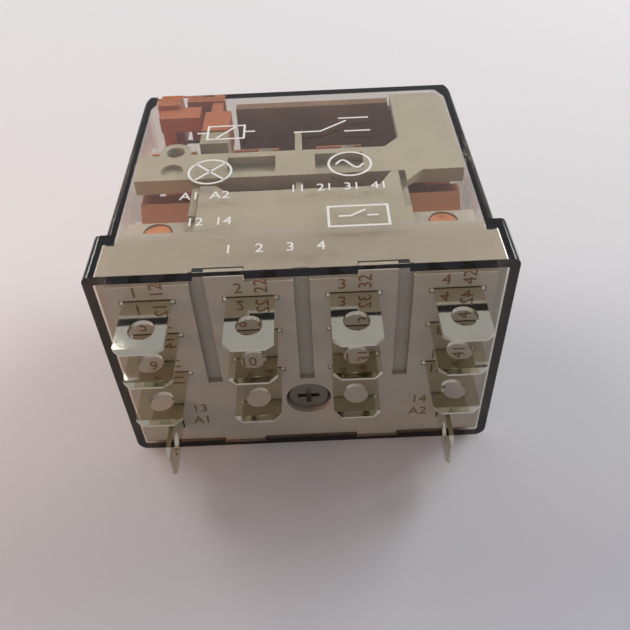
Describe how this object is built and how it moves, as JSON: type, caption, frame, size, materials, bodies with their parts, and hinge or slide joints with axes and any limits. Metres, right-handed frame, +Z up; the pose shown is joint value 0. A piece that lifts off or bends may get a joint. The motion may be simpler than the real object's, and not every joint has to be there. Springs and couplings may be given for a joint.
{
  "type": "plug-in relay",
  "caption": "Plug-in power relay with a flanged smoked cover, rows of flat contact blades, upright coil blades, and a visible changeover mechanism.",
  "frame": {"origin": "centre of the relay's bounding box in X and Y, on the surface that the cover's coil side lies on", "axes": "+X across the poles from pole 1 to pole 4, +Y from the blades to the test button, +Z up from the coil side to the contact side"},
  "size_m": [0.0422, 0.045, 0.0279],
  "materials": {
    "smoked_clear": "clear smoked plastic",
    "base_plastic": "moulded",
    "light_plastic": "moulded",
    "dark_plastic": "moulded",
    "bobbin_plastic": "moulded",
    "tin_plate": "bright tin plating",
    "copper_strip": "rolled",
    "copper_braid": "braided",
    "copper_rivet": "turned",
    "silver_contact": "polished",
    "bright_steel": "plated",
    "spring_steel": "drawn",
    "soft_iron": "plated",
    "screw_steel": "dull plated",
    "enamelled_wire": "enamelled",
    "orange_plastic": "moulded"
  },
  "bodies": {
    "housing": {"cover": "smoked_clear", "base_block": "base_plastic", "contact_cage": "light_plastic", "centre_plate": "light_plastic", "nc_terminal_1": "tin_plate", "nc_terminal_2": "tin_plate", "nc_terminal_3": "tin_plate", "nc_terminal_4": "tin_plate", "no_terminal_1": "tin_plate", "no_terminal_2": "tin_plate", "no_terminal_3": "tin_plate", "no_terminal_4": "tin_plate", "com_terminal_1": "tin_plate", "com_terminal_2": "tin_plate", "com_terminal_3": "tin_plate", "com_terminal_4": "tin_plate", "coil_terminal_1": "tin_plate", "coil_terminal_2": "tin_plate", "nc_strip_1": "copper_strip", "nc_strip_2": "copper_strip", "nc_strip_3": "copper_strip", "nc_strip_4": "copper_strip", "no_strip_1": "copper_strip", "no_strip_2": "copper_strip", "no_strip_3": "copper_strip", "no_strip_4": "copper_strip", "braid_1": "copper_braid", "braid_2": "copper_braid", "braid_3": "copper_braid", "braid_4": "copper_braid", "nc_contacts": "silver_contact", "no_contacts": "silver_contact", "strip_rivets": "copper_rivet", "yoke": "soft_iron", "core": "soft_iron", "core_screw": "screw_steel", "shading_ring": "copper_rivet", "bobbin": "bobbin_plastic", "winding": "enamelled_wire", "coil_leads": "enamelled_wire", "return_spring": "spring_steel"},
    "armature": {"armature": "soft_iron", "carrier": "dark_plastic", "lever": "light_plastic", "armature_flag": "orange_plastic", "moving_contacts": "silver_contact", "spring_rivets": "bright_steel", "moving_spring_1": "copper_strip", "moving_spring_2": "copper_strip", "moving_spring_3": "copper_strip", "moving_spring_4": "copper_strip"},
    "button": {"test_button": "orange_plastic"}
  },
  "joints": [
    {"name": "armature_hinge", "type": "hinge", "parent": "housing", "child": "armature", "pos_m": [0, 0.01575, 0.0014], "axis": [1, 0, 0], "range_deg": [0, 4], "stiffness_Nm_per_rad": 0.002, "deforming": ["braid_1", "braid_2", "braid_3", "braid_4", "return_spring"]},
    {"name": "test_button_slide", "type": "slide", "parent": "housing", "child": "button", "axis": [0, -1, 0], "range_m": [0, 0.0014]}
  ],
  "couplings": [
    {"joint": "test_button_slide", "follows": "armature_hinge", "m_per_rad": 0.02004}
  ]
}
